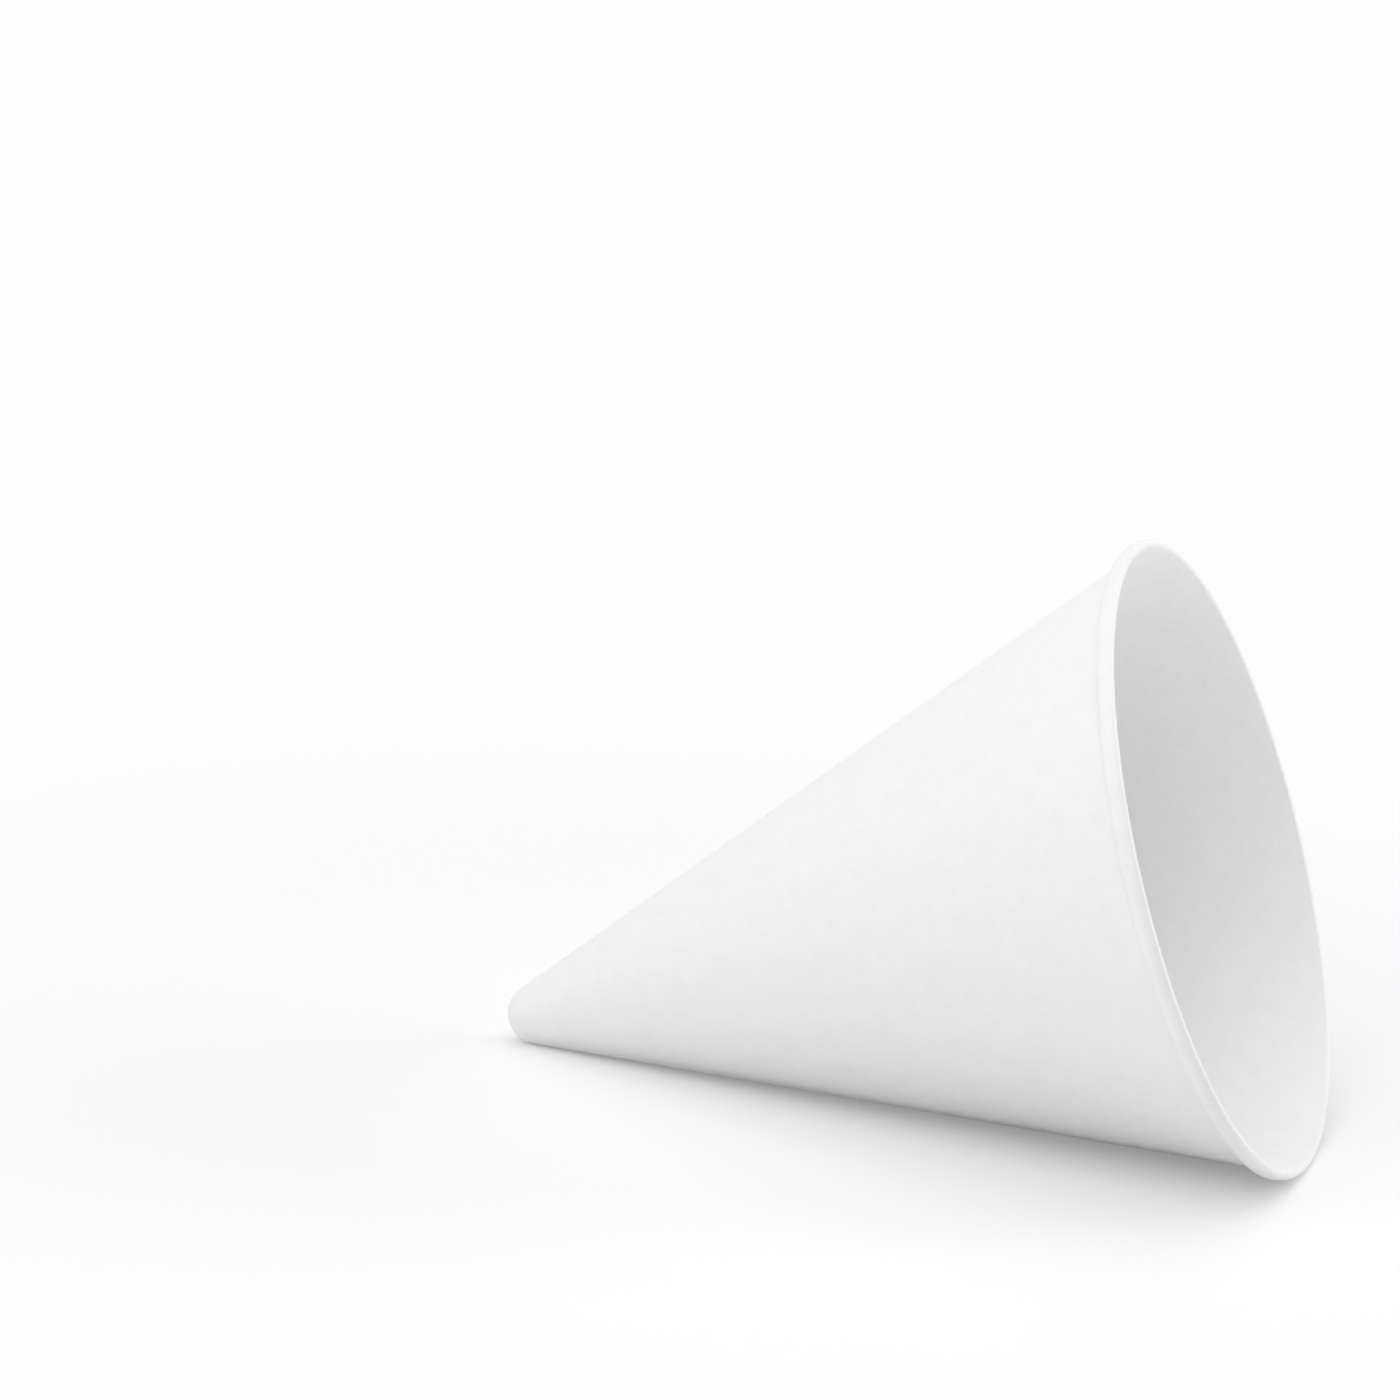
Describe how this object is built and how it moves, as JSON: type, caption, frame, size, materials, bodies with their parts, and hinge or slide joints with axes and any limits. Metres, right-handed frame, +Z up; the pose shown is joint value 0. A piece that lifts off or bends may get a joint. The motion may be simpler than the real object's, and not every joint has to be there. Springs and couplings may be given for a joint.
{
  "type": "cone paper cup",
  "caption": "Disposable white paper cone cup with an outward rolled rim, a glued side lap and a rounded tip, lying on its side.",
  "frame": {"origin": "on the floor under the middle of the lying cup: centre of the bounding box's bottom", "axes": "+X from the closed tip towards the open mouth along the floor, +Y to the side away from the viewer, +Z up. The cup lies on its side, its own axis rising about 21.5 degrees from the tip to the mouth."},
  "size_m": [0.1084, 0.084, 0.0783],
  "materials": {
    "paper": "matte uncoated white cup paper"
  },
  "bodies": {
    "root": {"cone_cup": "paper"}
  },
  "joints": []
}
